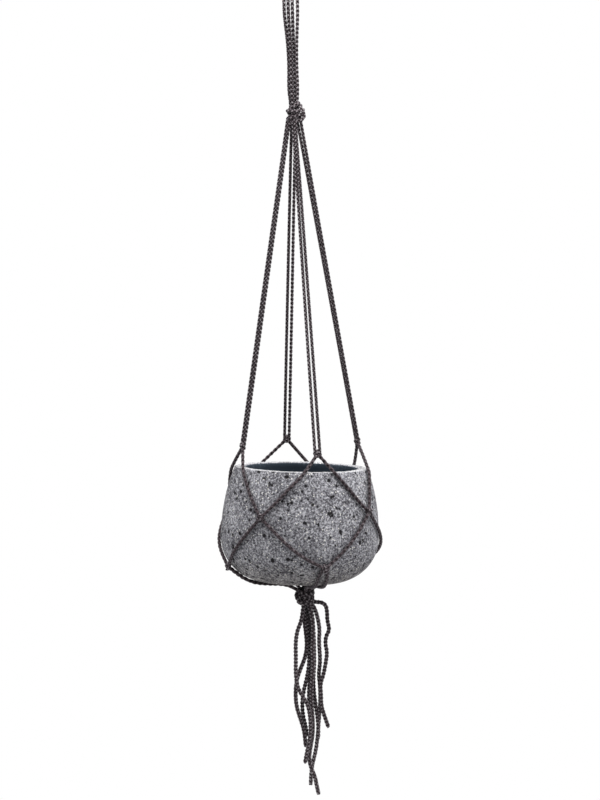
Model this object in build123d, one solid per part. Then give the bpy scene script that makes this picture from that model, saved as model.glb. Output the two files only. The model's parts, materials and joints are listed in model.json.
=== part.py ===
"""Hanging plant pot in a knotted cord hanger.

Four braided cords are doubled over a hook, tied in a top knot and parted into four pairs of legs.
Each pair is tied in a small knot above the pot's rim. Below it the two cords part, and each is tied
to its neighbour at the belly and again at the heel, so the eight cords make a net round the pot.
Under the pot all eight are tied in one gather knot, and their loose ends hang as tails.

Millimetres. Z is up, X is to the right and -Y is the front. The origin is the middle of the hook,
on the axis of its bar, where the hanger's loop rests.
"""

import math
import os

from build123d import *

# Hook and cord
HOOK_DIAMETER = 10.0  # the round bar that the loop hangs over, along X
CORD_LEG = 4.0  # cord pulled thin by the pot's weight: loop and legs
CORD_NET = 4.5  # cord pressed against the pot
CORD_TAIL = 5.0  # slack cord
GAP = 0.3  # clearance between pieces that move past each other

# Pot
POT_HEIGHT = 137.5
RIM_DIAMETER = 159.2
RIM_WIDTH = 12.5  # width of the flat lip, outside to inside
BELLY_DIAMETER = 190.4
BELLY_HEIGHT = 54.0  # height of the widest level above the base
WALL = 10.0  # wall at the belly, and the floor
LIP_ROUNDING = 2.5
POT_LEAN = 2.6  # degrees that the pot leans in its net, right side down
POT_SHIFT = -4.0  # the pot's axis stands this far to the right of the hook, at belly level

# Heights below the hook
TOP_KNOT_DEPTH = 129.5
RIM_DEPTH = 550.5
GATHER_DROP = 19.5  # the gather knot's middle below the pot's base

# Knots, sized by the cords that they tie
TOP_KNOT_RADIUS = 3.0 * CORD_LEG
TOP_KNOT_RISE = 1.25 * TOP_KNOT_RADIUS  # the top knot is taller above its middle
SMALL_KNOT_RADIUS = 1.16 * CORD_NET
GATHER_KNOT_RADIUS = 2.3 * CORD_TAIL

# Worked out from the sizes above
RIM_Z = -RIM_DEPTH
BASE_Z = RIM_Z - POT_HEIGHT
BELLY_Z = BASE_Z + BELLY_HEIGHT
RIM_RADIUS = RIM_DIAMETER / 2
BELLY_RADIUS = BELLY_DIAMETER / 2
BASE_RADIUS = BELLY_RADIUS - BELLY_HEIGHT  # the bowl is a quarter circle, so the flat base is what it leaves
OPENING_RADIUS = RIM_RADIUS - RIM_WIDTH
SHOULDER_RADIUS = ((RIM_Z - BELLY_Z) ** 2 + (BELLY_RADIUS - RIM_RADIUS) ** 2) / (
    2 * (BELLY_RADIUS - RIM_RADIUS)
)
TOP_KNOT = Vector(0, 0, -TOP_KNOT_DEPTH)
GATHER_KNOT = Vector(0, 0, BASE_Z - GATHER_DROP)
LOOP_RADIUS = HOOK_DIAMETER / 2 + CORD_LEG / 2 + 0.1

# A cord's arc takes this much of the shorter of its two runs
BEND_SHARE = 0.45
NET_STANDOFF = CORD_NET / 2 + 1.5  # a net cord's points from the pot: its runs cut inside them
KNOT_STANDOFF = SMALL_KNOT_RADIUS + GAP + 0.1

# The loop, in leg diameters: each cord's place along the hook, and where its two strands enter the
# top knot
CROWN_HALF_ANGLE = 62.0  # degrees of the bar that the crown covers to each side of its top
LOOP_CORDS = {
    "1": (-2.075, (-1.225, 0.575)),
    "2": (-0.85, (-0.425, 1.275)),
    "3": (0.375, (0.425, 0.575)),
    "4": (1.9, (1.225, 1.275)),
}
LOOP_ROUTE = (  # share of the way from hook place to knot place, and height
    (0.0, -12.0),
    (0.45, -48.0),
    (1.0, -104.0),
)

# The small knots above the rim: radius from the pot's axis, azimuth, height above the rim.
# Azimuth is in degrees from the front, growing to the right.
RIM_KNOTS = {
    "left": (74.0, -72.0, 25.0),
    "front": (71.0, 15.0, 21.5),
    "right": (71.0, 109.0, 30.5),
    "back": (71.0, 195.0, 28.5),
}

# Each leg pair: the pair's middle at the top knot, then how far each strand is from the middle
# there and at the rim knot. All in leg diameters, across (x, y).
LEG_PAIRS = {
    "left": ((-1.38, 0.15), (0.33, -0.43), (0.38, -0.44)),
    "front": ((0.06, -1.45), (0.35, -0.44), (0.72, -0.06)),
    "right": ((1.38, -0.10), (0.51, -0.19), (0.33, -0.49)),
    "back": ((0.0, 1.33), (0.56, 0.0), (0.70, 0.10)),
}

# The knots on the pot: azimuth, and level from 0 at the base to 1 at the rim
BELLY_KNOTS = {
    "front_left": (-28.4, 0.605),
    "front_right": (56.0, 0.655),
    "back_right": (152.0, 0.640),
    "back_left": (242.0, 0.620),
}
HEEL_KNOTS = {
    "left": (-71.0, 0.160),
    "front": (19.0, 0.210),
    "right": (118.0, 0.170),
    "back": (197.0, 0.185),
}

# Net cords from a rim knot to a belly knot, as (azimuth, level) points against the pot
UPPER_NET = {
    ("left", "front_left"): ((-56.5, 0.985), (-50.5, 0.925), (-43.0, 0.820), (-34.5, 0.695)),
    ("left", "back_left"): ((-92.0, 0.985), (-99.5, 0.925), (-106.5, 0.830), (-113.5, 0.710)),
    ("front", "front_left"): ((2.5, 0.985), (-7.3, 0.880), (-16.0, 0.765), (-24.0, 0.665)),
    ("front", "front_right"): ((28.5, 0.985), (35.0, 0.905), (43.5, 0.795), (51.5, 0.700)),
    ("right", "front_right"): ((76.0, 0.985), (71.5, 0.945), (66.0, 0.860), (61.0, 0.755)),
    ("right", "back_right"): ((128.0, 0.985), (136.5, 0.910), (142.5, 0.820), (147.0, 0.725)),
    ("back", "back_right"): ((175.0, 0.985), (167.0, 0.895), (161.0, 0.795), (156.5, 0.705)),
    ("back", "back_left"): ((215.0, 0.985), (224.0, 0.890), (231.5, 0.780), (238.0, 0.680)),
}

# Net cords from a belly knot to a heel knot
LOWER_NET = {
    ("front_left", "left"): ((-34.0, 0.535), (-41.8, 0.435), (-50.0, 0.335), (-59.5, 0.245)),
    ("front_left", "front"): ((-22.5, 0.545), (-13.0, 0.440), (-2.8, 0.335), (8.0, 0.258)),
    ("front_right", "front"): ((51.0, 0.580), (43.0, 0.475), (34.0, 0.365), (26.0, 0.275)),
    ("front_right", "right"): (
        (62.5, 0.595), (71.0, 0.505), (80.5, 0.415), (91.5, 0.325), (104.5, 0.235),
    ),
    ("back_right", "right"): ((147.0, 0.565), (140.5, 0.460), (133.5, 0.355), (126.0, 0.255)),
    ("back_right", "back"): ((158.5, 0.570), (168.0, 0.460), (178.0, 0.350), (187.5, 0.255)),
    ("back_left", "back"): ((236.0, 0.550), (226.5, 0.445), (216.5, 0.345), (206.5, 0.260)),
    ("back_left", "left"): ((248.0, 0.550), (257.0, 0.445), (267.0, 0.340), (278.0, 0.240)),
}

# The two cords from each heel knot round the bowl, as (azimuth, level) points against it, and the
# azimuth at which each enters the gather knot
BASE_NET = {
    "left": (
        ((-74.5, 0.095), (-76.0, 0.042), (-79.0, 0.008)), -88.0,
        ((-67.5, 0.095), (-66.5, 0.042), (-65.0, 0.008)), -55.0,
    ),
    "front": (
        ((16.0, 0.130), (17.5, 0.055), (20.0, 0.008)), 8.0,
        ((23.5, 0.130), (27.5, 0.055), (34.0, 0.008)), 41.0,
    ),
    "right": (
        ((114.5, 0.100), (113.5, 0.045), (112.0, 0.008)), 101.0,
        ((121.5, 0.100), (123.0, 0.045), (126.0, 0.008)), 134.0,
    ),
    "back": (
        ((193.5, 0.105), (191.5, 0.045), (188.0, 0.008)), 178.0,
        ((200.5, 0.105), (202.5, 0.045), (206.0, 0.008)), 214.0,
    ),
}

# The tails, as points from the gather knot's middle
TAILS = {
    "1": (
        (4.0, 1.4, -3.0), (13.0, 2.6, -6.0), (21.0, 3.4, -10.5), (25.8, 4.0, -19.5),
        (27.4, 4.0, -30.5), (28.4, 3.2, -41.5), (25.2, 1.4, -52.0), (24.5, -1.0, -66.0),
        (22.4, -3.0, -83.0), (18.4, -4.0, -104.0), (16.9, -4.2, -121.0), (19.2, -4.0, -135.0),
        (22.4, -3.5, -147.0), (25.3, -3.0, -159.0),
    ),
    "2": (
        (5.5, -1.2, -4.5), (11.0, -1.6, -11.5), (14.6, -1.2, -22.0), (17.6, -1.0, -39.0),
        (16.2, 0.4, -55.0), (17.5, 1.6, -79.0), (14.9, 2.2, -95.0), (16.4, 2.4, -110.0),
        (16.2, 2.9, -131.0), (13.6, 2.4, -156.0), (12.0, 2.0, -172.0), (9.6, 1.6, -188.0),
        (5.4, 1.4, -203.0), (3.2, 0.8, -215.0), (2.4, 0.4, -229.5),
    ),
    "3": (
        (-1.0, -4.8, -7.0), (-2.6, -6.2, -18.0), (-4.6, -6.8, -29.0), (-9.6, -7.3, -40.0),
        (-12.0, -7.8, -54.0), (-12.0, -8.4, -74.0), (-12.8, -8.8, -94.0), (-10.4, -9.2, -110.0),
        (-4.4, -9.6, -120.0), (1.2, -9.6, -130.0), (3.6, -9.5, -144.0), (3.9, -9.2, -160.0),
        (1.9, -8.7, -175.0), (-1.4, -8.4, -188.0), (-3.9, -8.0, -201.0),
    ),
    "4": (
        (-0.6, 0.2, -9.0), (0.0, -0.9, -19.0), (-0.8, -1.4, -30.0), (1.0, -1.5, -46.0),
        (1.7, -1.6, -60.0), (-0.9, -2.0, -74.0), (-7.2, -2.6, -88.0), (-11.9, -3.0, -101.0),
        (-13.6, -3.1, -117.0), (-12.8, -3.1, -132.0), (-9.2, -3.0, -145.0), (-5.0, -3.0, -158.0),
        (-3.2, -3.0, -170.0), (-2.6, -2.8, -182.0),
    ),
    "5": (
        (1.0, 5.7, -8.0), (2.2, 5.0, -20.0), (2.4, 4.2, -34.0), (4.6, 4.0, -51.0),
        (4.2, 3.7, -68.0), (3.7, 3.3, -84.0), (0.6, 3.0, -100.0), (-3.6, 3.1, -115.0),
        (-5.8, 3.1, -130.0), (-5.2, 3.0, -145.0), (-2.0, 3.0, -158.0), (-0.6, 2.8, -170.0),
    ),
    "6": (
        (4.6, -4.2, -8.5), (8.0, -5.2, -20.0), (9.8, -5.2, -34.0), (9.0, -5.3, -50.0),
        (8.0, -5.2, -66.0), (8.9, -5.0, -82.0), (7.0, -4.6, -100.0), (5.4, -4.4, -117.0),
        (5.7, -4.4, -133.0), (6.8, -4.2, -150.0), (6.4, -3.6, -166.0), (3.6, -3.3, -181.0),
        (0.9, -3.8, -196.0), (3.4, -5.4, -208.0), (7.8, -6.6, -218.0), (9.4, -7.0, -228.0),
        (11.8, -7.4, -239.5),
    ),
    "7": (
        (5.2, 2.9, -8.6), (8.9, 2.3, -20.0), (9.6, 1.4, -35.0), (10.2, 0.9, -52.0),
        (10.2, 0.8, -69.0), (9.9, 0.9, -84.0), (8.4, 1.3, -99.0), (8.7, 1.6, -115.0),
        (10.4, 0.4, -131.0), (12.3, -2.2, -145.0), (13.4, -4.4, -158.0), (12.7, -5.0, -172.0),
    ),
    "8": (
        (3.5, 9.8, -4.5), (5.3, 10.9, -17.0), (5.2, 10.3, -33.0), (7.2, 9.4, -50.0),
        (8.6, 8.8, -66.0), (7.8, 8.7, -82.0), (4.9, 8.6, -98.0), (3.0, 8.8, -114.0),
        (2.6, 9.0, -130.0), (4.2, 8.6, -144.0), (4.8, 8.3, -155.0),
    ),
}

made = {}  # node name -> shape


def unit(azimuth):
    """The level direction that points to this azimuth."""
    turn = math.radians(azimuth)
    return Vector(math.sin(turn), -math.cos(turn), 0)


def leaned(radius, azimuth, height):
    """A point given from the upright pot's axis, moved to where the leaning pot has it."""
    upright = unit(azimuth) * radius + Vector(0, 0, height - BELLY_Z)
    return upright.rotate(Axis.Y, POT_LEAN) + Vector(POT_SHIFT, 0, BELLY_Z)


def beside_pot(azimuth, level, standoff):
    """A point this far out from the pot's outer face, square to the face."""
    height = BASE_Z + level * POT_HEIGHT
    rise = height - BELLY_Z
    if rise > 0:
        middle = BELLY_RADIUS - SHOULDER_RADIUS
        arc = SHOULDER_RADIUS
    else:
        middle = BASE_RADIUS
        arc = BELLY_HEIGHT
    reach = math.sqrt(arc**2 - rise**2)
    grow = (arc + standoff) / arc
    return leaned(middle + reach * grow, azimuth, BELLY_Z + rise * grow)


def bend_radii(points):
    """For each corner of a route, the largest arc that its two runs allow."""
    radii = []
    for before, corner, after in zip(points, points[1:], points[2:]):
        run_in = corner - before
        run_out = after - corner
        half_turn = math.radians(run_in.get_angle(run_out)) / 2
        radii.append(BEND_SHARE * min(run_in.length, run_out.length) / math.tan(half_turn))
    return radii


def cord(name, points, diameter):
    """A round cord along the route, with its tightest bend printed."""
    if len(points) == 2:
        path = Line(*points)
        tightest = math.inf
    else:
        radii = bend_radii(points)
        path = FilletPolyline(*points, radius=radii)
        tightest = min(radii)
    section = Plane(origin=path @ 0, z_dir=path % 0) * Circle(diameter / 2)
    solid = sweep(section, path=path)
    share = solid.volume / (math.pi * diameter**2 / 4 * path.length)
    print(f"{name}: length {path.length:.1f}, tightest bend {tightest:.1f}, volume share {share:.4f}")
    return solid


def save(name, shape):
    """Write one node's shape and keep it for the summary."""
    made[name] = shape
    export_step(shape, f"parts/{name}.step")


def ball(middle, radius):
    """A sphere about a point, its poles at the front and back, away from where the cords enter."""
    return Pos(middle) * Rot(90, 0, 0) * Sphere(radius)


def pot_profile():
    """Half of the pot's section in the XZ plane, standing upright on its own axis."""
    base_middle = (0, BASE_Z)
    base_edge = (BASE_RADIUS, BASE_Z)
    belly = (BELLY_RADIUS, BELLY_Z)
    rim_outer = (RIM_RADIUS, RIM_Z)
    rim_inner = (OPENING_RADIUS, RIM_Z)
    inner_belly = (BELLY_RADIUS - WALL, BELLY_Z)
    bowl_radius = BELLY_HEIGHT - WALL
    floor_edge = (BELLY_RADIUS - WALL - bowl_radius, BELLY_Z - bowl_radius)
    floor_middle = (0, BELLY_Z - bowl_radius)
    half = math.sqrt(0.5)
    bowl_outer_mid = (BASE_RADIUS + BELLY_HEIGHT * half, BELLY_Z - BELLY_HEIGHT * half)
    bowl_inner_mid = (floor_edge[0] + bowl_radius * half, BELLY_Z - bowl_radius * half)
    with BuildSketch(Plane.XZ) as profile:
        with BuildLine():
            Line(floor_middle, base_middle)
            Line(base_middle, base_edge)
            ThreePointArc(base_edge, bowl_outer_mid, belly)
            TangentArc(belly, rim_outer, tangent=(0, 1))
            Line(rim_outer, rim_inner)
            TangentArc(inner_belly, rim_inner, tangent=(0, 1))
            ThreePointArc(floor_edge, bowl_inner_mid, inner_belly)
            Line(floor_edge, floor_middle)
        make_face()
        lip = profile.vertices().group_by(Axis.Y)[-1]
        fillet(lip, LIP_ROUNDING)
    return profile.sketch


def make_pot():
    """The thick-walled round pot, leaning a little in its net."""
    upright = revolve(pot_profile(), Axis.Z)
    about_belly = Pos(POT_SHIFT, 0, BELLY_Z) * Rot(0, POT_LEAN, 0) * Pos(0, 0, -BELLY_Z)
    save("pot", about_belly * upright)


def top_knot_solid(grow=0.0):
    """The top knot: half a ball below its middle, and a taller rounded half above."""
    radius = TOP_KNOT_RADIUS + grow
    rise = TOP_KNOT_RISE + grow
    crest = (0.45 * radius, rise)
    with BuildSketch(Plane.XZ) as profile:
        with BuildLine():
            CenterArc((0, 0), radius, -90, 90)
            TangentArc((radius, 0), crest, tangent=(0, 1))
            Line(crest, (0, rise))
            Line((0, rise), (0, -radius))
        make_face()
    return Pos(TOP_KNOT) * revolve(profile.sketch, Axis.Z)


def make_loop():
    """Four cords over the hook, each with a crown on the bar and a strand down each side."""
    knot = top_knot_solid(GAP)
    for name, (place_share, (knot_x_share, knot_y_share)) in LOOP_CORDS.items():
        place = place_share * CORD_LEG
        knot_x = knot_x_share * CORD_LEG
        knot_y = knot_y_share * CORD_LEG
        bar = Plane(origin=(place, 0, 0), x_dir=(0, 1, 0), z_dir=(1, 0, 0))
        start = 90 - CROWN_HALF_ANGLE
        arc = bar * CenterArc((0, 0), LOOP_RADIUS, start, 2 * CROWN_HALF_ANGLE)
        section = Plane(origin=arc @ 0, z_dir=arc % 0) * Circle(CORD_LEG / 2)
        save(f"loop_crown_{name}", sweep(section, path=arc))
        strands = []
        for side in (-1, 1):
            points = [Vector(place, side * LOOP_RADIUS, 0)]
            for share, height in LOOP_ROUTE:
                x = place + (knot_x - place) * share
                y = LOOP_RADIUS + (knot_y - LOOP_RADIUS) * share
                points.append(Vector(x, side * y, height))
            points.append(Vector(knot_x, side * knot_y, -TOP_KNOT_DEPTH))
            strands.append(cord(f"loop_strand_{name}", points, CORD_LEG) - knot)
        save(f"loop_strands_{name}", Compound(children=strands))


def rim_knot_middle(side):
    """The middle of the small knot above the rim on this side."""
    radius, azimuth, above = RIM_KNOTS[side]
    return leaned(radius, azimuth, RIM_Z + above)


def belly_knot_middle(corner):
    """The middle of the knot on the pot's belly at this corner."""
    return beside_pot(*BELLY_KNOTS[corner], KNOT_STANDOFF)


def heel_knot_middle(side):
    """The middle of the knot low on the pot on this side."""
    return beside_pot(*HEEL_KNOTS[side], KNOT_STANDOFF)


def make_legs():
    """Four pairs of straight cords from the top knot to the knots above the rim."""
    top = ball(TOP_KNOT, TOP_KNOT_RADIUS + GAP)
    for side, (middle, spread_top, spread_rim) in LEG_PAIRS.items():
        rim = rim_knot_middle(side)
        knot = ball(rim, SMALL_KNOT_RADIUS)
        for number, sign in (("1", -1), ("2", 1)):
            start_x = middle[0] + sign * spread_top[0]
            start_y = middle[1] + sign * spread_top[1]
            start = TOP_KNOT + Vector(start_x, start_y, -1) * CORD_LEG
            end = rim + Vector(spread_rim[0], spread_rim[1], 0) * (sign * CORD_LEG)
            name = f"leg_{side}_{number}"
            save(name, cord(name, [start, end], CORD_LEG) - [top, knot])


def make_net():
    """The cords and knots that hold the pot, from above the rim to the heel."""
    for side in RIM_KNOTS:
        save(f"rim_knot_{side}", ball(rim_knot_middle(side), SMALL_KNOT_RADIUS))
    for corner in BELLY_KNOTS:
        save(f"belly_knot_{corner}", ball(belly_knot_middle(corner), SMALL_KNOT_RADIUS))
    for side in HEEL_KNOTS:
        save(f"heel_knot_{side}", ball(heel_knot_middle(side), SMALL_KNOT_RADIUS))
    for (side, corner), route in UPPER_NET.items():
        start = rim_knot_middle(side)
        end = belly_knot_middle(corner)
        name = f"net_upper_{side}_to_{corner}"
        net_cord(name, start, route, end)
    for (corner, side), route in LOWER_NET.items():
        start = belly_knot_middle(corner)
        end = heel_knot_middle(side)
        name = f"net_lower_{corner}_to_{side}"
        net_cord(name, start, route, end)


def net_cord(name, start, route, end):
    """One net cord against the pot, from one small knot's face to the next one's."""
    against = [beside_pot(azimuth, level, NET_STANDOFF) for azimuth, level in route]
    solid = cord(name, [start, *against, end], CORD_NET)
    save(name, solid - [ball(start, SMALL_KNOT_RADIUS), ball(end, SMALL_KNOT_RADIUS)])


def make_base_cords():
    """Two cords from each heel knot, round the bowl and under the base to the gather knot."""
    gather = ball(GATHER_KNOT, GATHER_KNOT_RADIUS + GAP)
    under_base = Vector(0, 0, GATHER_DROP - CORD_NET)  # from the gather knot to where a cord turns down
    for side, (first, first_entry, second, second_entry) in BASE_NET.items():
        start = heel_knot_middle(side)
        knot = ball(start, SMALL_KNOT_RADIUS)
        across = unit(HEEL_KNOTS[side][0] + 90) * (CORD_NET / 2)
        strands = []
        for offset, route, entry in ((-across, first, first_entry), (across, second, second_entry)):
            against = [beside_pot(azimuth, level, NET_STANDOFF) for azimuth, level in route]
            before = GATHER_KNOT + unit(entry) * (1.6 * GATHER_KNOT_RADIUS) + under_base
            points = [start + offset, *against, before, GATHER_KNOT]
            strands.append(cord(f"base_{side}", points, CORD_NET) - [knot, gather])
        save(f"base_cords_{side}", Compound(children=strands))


def make_tails():
    """The eight loose ends below the gather knot."""
    gather = ball(GATHER_KNOT, GATHER_KNOT_RADIUS + GAP)
    for name, route in TAILS.items():
        points = [GATHER_KNOT + Vector(*point) for point in route]
        save(f"tail_{name}", cord(f"tail_{name}", points, CORD_TAIL) - gather)


def main():
    """Make every piece and write its file."""
    os.makedirs("parts", exist_ok=True)
    make_pot()
    save("top_knot", top_knot_solid())
    make_loop()
    make_legs()
    make_net()
    make_base_cords()
    save("gather_knot", ball(GATHER_KNOT, GATHER_KNOT_RADIUS))
    make_tails()
    print(f"{len(made)} nodes, {sum(len(shape.solids()) for shape in made.values())} solids")


main()
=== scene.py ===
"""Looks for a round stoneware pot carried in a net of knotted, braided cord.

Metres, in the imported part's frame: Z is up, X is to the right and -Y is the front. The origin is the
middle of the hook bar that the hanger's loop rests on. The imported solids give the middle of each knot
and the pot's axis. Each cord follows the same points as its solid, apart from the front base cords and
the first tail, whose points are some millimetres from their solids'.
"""

import json
import logging
import math
import random
from dataclasses import dataclass, field
from enum import Enum
from typing import Iterable, Sequence

import bpy
import numpy as np
from mathutils import Matrix, Vector, kdtree, noise


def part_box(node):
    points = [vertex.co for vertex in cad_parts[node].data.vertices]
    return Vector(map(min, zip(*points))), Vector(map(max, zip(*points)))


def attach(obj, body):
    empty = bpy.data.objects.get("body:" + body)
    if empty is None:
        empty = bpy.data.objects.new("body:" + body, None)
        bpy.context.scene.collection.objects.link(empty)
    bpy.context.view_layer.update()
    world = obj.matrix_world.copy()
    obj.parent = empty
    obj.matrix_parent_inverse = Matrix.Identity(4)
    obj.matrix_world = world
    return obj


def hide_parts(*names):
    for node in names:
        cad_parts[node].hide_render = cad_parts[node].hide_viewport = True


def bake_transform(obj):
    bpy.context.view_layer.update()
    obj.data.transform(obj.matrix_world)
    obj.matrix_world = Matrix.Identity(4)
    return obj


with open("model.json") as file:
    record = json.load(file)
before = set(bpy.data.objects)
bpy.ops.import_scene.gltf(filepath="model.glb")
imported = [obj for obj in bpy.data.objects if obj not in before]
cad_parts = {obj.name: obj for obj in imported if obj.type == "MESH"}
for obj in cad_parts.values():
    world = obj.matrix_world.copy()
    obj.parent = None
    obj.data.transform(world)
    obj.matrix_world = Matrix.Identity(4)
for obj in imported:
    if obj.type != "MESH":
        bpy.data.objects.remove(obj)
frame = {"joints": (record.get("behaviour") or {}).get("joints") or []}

Point = tuple[float, float, float]
Colour = tuple[float, float, float, float]

log = logging.getLogger("planter")

# Cord diameters: pulled thin in the loop and legs, pressed on the pot in the net, slack in the tails
LEG_CORD = 0.0040
NET_CORD = 0.0045
TAIL_CORD = 0.0050

YARN_MAP_UNIT = 0.010  # metres of yarn to one unit of its UV map
ACROSS_ANY_CORD = (0.31, -0.94, 0.13)  # a direction that no cord starts along


class Body(str, Enum):
    """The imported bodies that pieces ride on."""

    HOOK_LOOP = "hook_loop"
    NECK = "neck"
    TOP_KNOT = "top_knot_body"
    HANGER = "hanger"
    POT = "pot_body"
    GATHER_KNOT = "gather_knot_body"
    TASSEL = "tassel"


class Slot(str, Enum):
    """The record's material slots."""

    CORD = "cord"
    STONEWARE = "stoneware"


class Hang(str, Enum):
    """How a cord lies."""

    TAUT = "taut"
    HANGING = "hanging"


# ---------------------------------------------------------------------------------------------
# Shader building


@dataclass(frozen=True)
class Wire:
    """One output socket of a shader tree. Sums, differences and products on it add Math nodes."""

    board: "Board"
    socket: bpy.types.NodeSocket

    def _maths(self, operation: str, first: "Wire | float", second: "Wire | float") -> "Wire":
        """Add one Math node for two values."""
        return self.board.node("ShaderNodeMath", {"operation": operation}, {0: first, 1: second})

    def __add__(self, other: "Wire | float") -> "Wire":
        """This value plus another."""
        return self._maths("ADD", self, other)

    def __radd__(self, other: float) -> "Wire":
        """A number plus this value."""
        return self._maths("ADD", other, self)

    def __sub__(self, other: "Wire | float") -> "Wire":
        """This value less another."""
        return self._maths("SUBTRACT", self, other)

    def __rsub__(self, other: float) -> "Wire":
        """A number less this value."""
        return self._maths("SUBTRACT", other, self)

    def __mul__(self, other: "Wire | float") -> "Wire":
        """This value times another."""
        return self._maths("MULTIPLY", self, other)

    def __rmul__(self, other: float) -> "Wire":
        """A number times this value."""
        return self._maths("MULTIPLY", other, self)

    def step(self, low: float, high: float) -> "Wire":
        """A smooth step from 0 at low to 1 at high; low may be the larger.

        Args:
            low: the value that gives 0.
            high: the value that gives 1.

        Returns:
            The stepped value.
        """
        settings = {"interpolation_type": "SMOOTHSTEP"}
        return self.board.node("ShaderNodeMapRange", settings, {0: self, 1: low, 2: high})


class Board:
    """A material and its shader tree."""

    def __init__(self, name: str) -> None:
        """Make an empty material of this name."""
        self.material = bpy.data.materials.new(name)
        self.material.use_nodes = True
        self.tree = self.material.node_tree
        self.tree.nodes.clear()

    def node(
        self,
        kind: str,
        settings: dict[str, object] | None = None,
        values: dict[int | str, object] | None = None,
        out: int | str = 0,
    ) -> Wire:
        """Add a node of any kind.

        Args:
            kind: the node's type.
            settings: the node's own settings, set first.
            values: what each input socket gets, a number, a colour or a Wire.
            out: the output socket that is wanted.

        Returns:
            The wanted output.
        """
        made = self.tree.nodes.new(kind)
        for setting, value in (settings or {}).items():
            setattr(made, setting, value)
        for socket, value in (values or {}).items():
            if isinstance(value, Wire):
                self.tree.links.new(value.socket, made.inputs[socket])
            else:
                made.inputs[socket].default_value = value
        return Wire(self, made.outputs[out])

    def mix(self, share: Wire | float, first: Wire | Colour, second: Wire | Colour, how: str = "MIX") -> Wire:
        """Mix two colours.

        Args:
            share: 0 for the first colour, 1 for the second.
            first: the colour at 0.
            second: the colour at 1.
            how: the Mix node's blend type.

        Returns:
            The mixed colour.
        """
        settings = {"data_type": "RGBA", "blend_type": how}
        return self.node("ShaderNodeMix", settings, {0: share, 6: first, 7: second}, 2)

    def attribute(self, name: str) -> Wire:
        """The value that a mesh carries at each point under this name."""
        return self.node("ShaderNodeAttribute", {"attribute_name": name}, None, "Fac")

    def grain(self, place: Wire, scale: float, detail: float = 2.0, roughness: float = 0.5) -> Wire:
        """Noise at this many features to the metre.

        Args:
            place: the coordinate that the noise follows.
            scale: features to the unit of that coordinate.
            detail: octaves of finer noise.
            roughness: strength of the finer noise.

        Returns:
            The noise, about 0.5 on average.
        """
        values = {"Vector": place, "Scale": scale, "Detail": detail, "Roughness": roughness}
        return self.node("ShaderNodeTexNoise", None, values)

    def surface(self, **values: object) -> bpy.types.Material:
        """End the tree in one Principled shader.

        Args:
            values: its inputs, with an underline for each space in a socket's name.

        Returns:
            The finished material.
        """
        named = {socket.replace("_", " "): value for socket, value in values.items()}
        shader = self.node("ShaderNodeBsdfPrincipled", None, named)
        end = self.tree.nodes.new("ShaderNodeOutputMaterial")
        self.tree.links.new(shader.socket, end.inputs["Surface"])
        return self.material


@dataclass(frozen=True)
class CordFinish:
    """Dark taupe braided cord: matt twisted fibres, with painted shade in the grooves between the yarns and a
    painted highlight on the top of each yarn.
    """

    # Painted shade: the near-black colour of the grooves between the yarns
    groove_shade: Colour = (0.003, 0.002, 0.0025, 1.0)
    shade: Colour = (0.032, 0.021, 0.024, 1.0)
    light: Colour = (0.100, 0.074, 0.083, 1.0)
    crest_highlight: Colour = (0.340, 0.325, 0.335, 1.0)  # painted highlight on the top of each yarn, where it would catch the light
    fibres_along: float = 2.2  # fibre streaks to 10 mm of yarn
    fibres_round: float = 11.0  # fibre streaks round a yarn
    fibre_slant: float = 0.10  # of the streaks, in radians
    fuzz: float = 1500.0  # fine hairs to the metre
    cloud: float = 45.0  # changes of shade to the metre
    roughness: float = 0.78
    shine: float = 0.22
    sheen: float = 0.30
    sheen_roughness: float = 0.38
    sheen_tint: Colour = (0.84, 0.86, 0.92, 1.0)
    relief: float = 0.0004  # height of the fibre streaks, in metres

    def material(self) -> bpy.types.Material:
        """Build the cord's material.

        Returns:
            A material that reads the yarn UV map and the depth and tone attributes; the depth attribute
            places the painted shade and the painted highlight.
        """
        board = Board("braided_cord")
        yarn = board.node("ShaderNodeUVMap", {"uv_map": "yarn"})
        stretch = (self.fibres_along, self.fibres_round, 1.0)
        spin = {"Vector": yarn, "Scale": stretch, "Rotation": (0, 0, self.fibre_slant)}
        streaks = board.grain(board.node("ShaderNodeMapping", None, spin), 1.0, 3.0, 0.65)
        place = board.node("ShaderNodeTexCoord", None, None, "Object")
        fuzz = board.grain(place, self.fuzz, 2.0)
        cloud = board.grain(place, self.cloud, 1.0)
        height = board.attribute("depth")
        tone = board.attribute("tone")
        bright = streaks * 0.85 + fuzz * 0.35 + cloud * 0.30 + tone * 0.55 - 0.55
        fibre = board.mix(bright.step(0.0, 1.0), self.shade, self.light)
        # Painted shade: near black where the depth mark is low, in the grooves and on the yarns' inner sides
        colour = board.mix(height.step(0.28, 0.80), self.groove_shade, fibre)
        # Painted highlight: a pale colour on the tops of the yarns, where the depth mark is high
        colour = board.mix((height + bright * 0.30).step(0.84, 1.20), colour, self.crest_highlight)
        relief = streaks * 0.7 + fuzz * 0.3
        values = {"Strength": 0.55, "Distance": self.relief, "Height": relief}
        return board.surface(
            Base_Color=colour,
            Roughness=self.roughness,
            Specular_IOR_Level=self.shine,
            Sheen_Weight=self.sheen,
            Sheen_Roughness=self.sheen_roughness,
            Sheen_Tint=self.sheen_tint,
            Normal=board.node("ShaderNodeBump", None, values),
        )


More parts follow.
